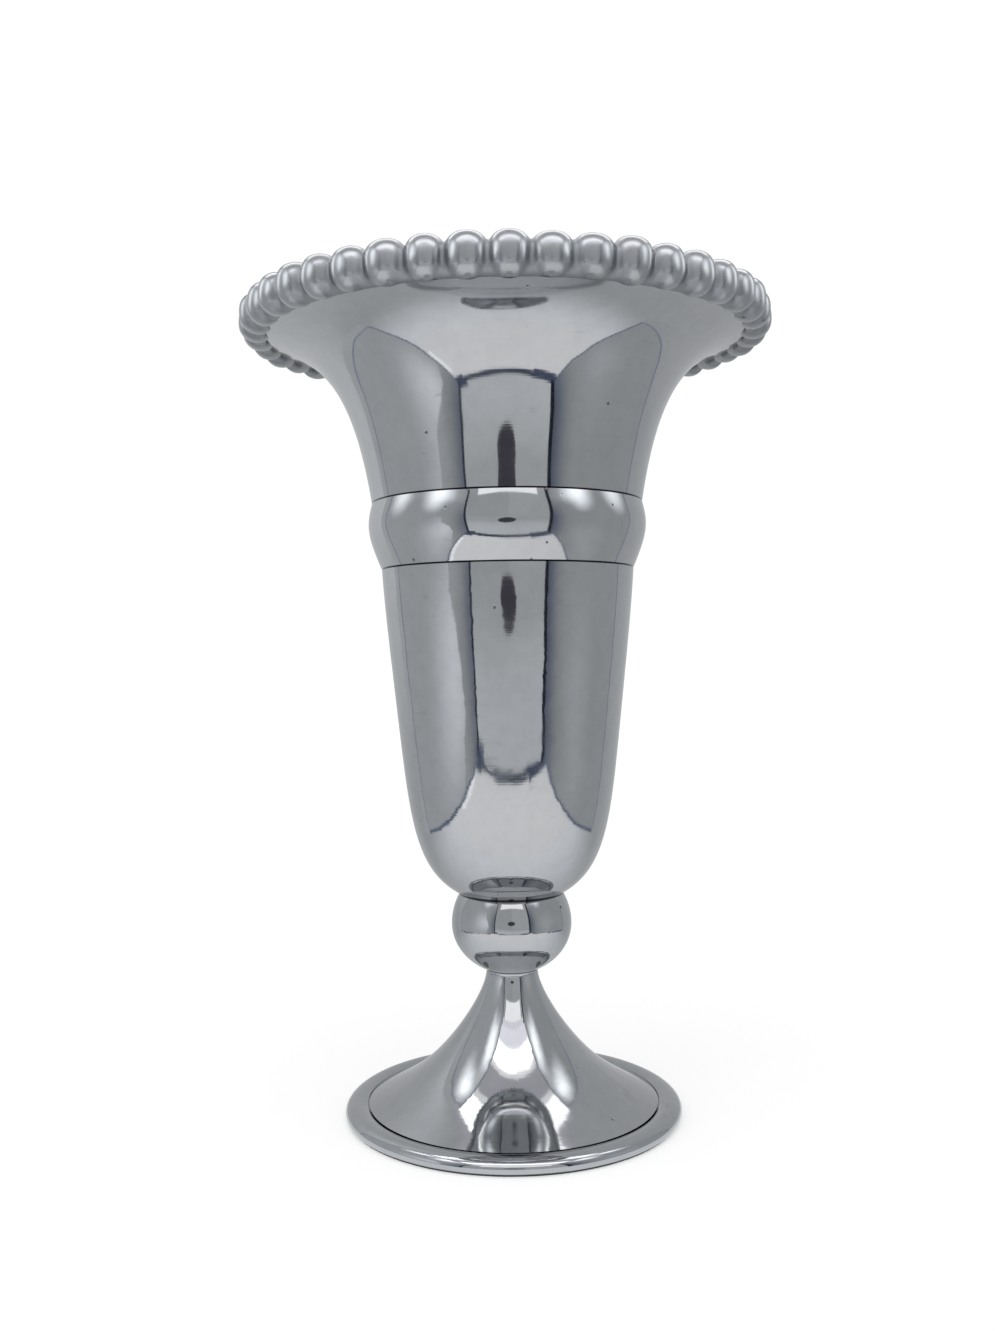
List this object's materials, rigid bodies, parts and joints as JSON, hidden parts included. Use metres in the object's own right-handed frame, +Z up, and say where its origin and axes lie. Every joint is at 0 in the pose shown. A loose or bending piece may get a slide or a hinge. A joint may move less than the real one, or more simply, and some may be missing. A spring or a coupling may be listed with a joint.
{
  "type": "trumpet vase",
  "caption": "Tall metal trumpet vase: flared bell with a beaded rim, girdle, tapering round-bottomed cup, ball knop and hollow flared foot with a felt base ring.",
  "frame": {"origin": "centre of the underside, on the surface the vase stands on", "axes": "+Z up along the vase's axis; -Y is the side seen in the picture, with one bead of the rim facing it"},
  "size_m": [0.2088, 0.2088, 0.32],
  "materials": {
    "polished_aluminium": "polished cast aluminium with fine turning lines and small casting pits",
    "fixing_steel": "zinc-plated steel, dull",
    "seal_rubber": "black rubber, matt",
    "base_felt": "dark felt"
  },
  "bodies": {
    "root": {"base_pad": "base_felt", "foot_rim": "polished_aluminium", "foot_cone": "polished_aluminium", "knop": "polished_aluminium", "cup": "polished_aluminium", "girdle": "polished_aluminium", "bell": "polished_aluminium", "beaded_rim": "polished_aluminium", "bolt_seal": "seal_rubber", "tie_bolt": "fixing_steel", "clamp_washer": "fixing_steel", "spring_washer": "fixing_steel", "tie_nut": "fixing_steel"}
  },
  "joints": []
}
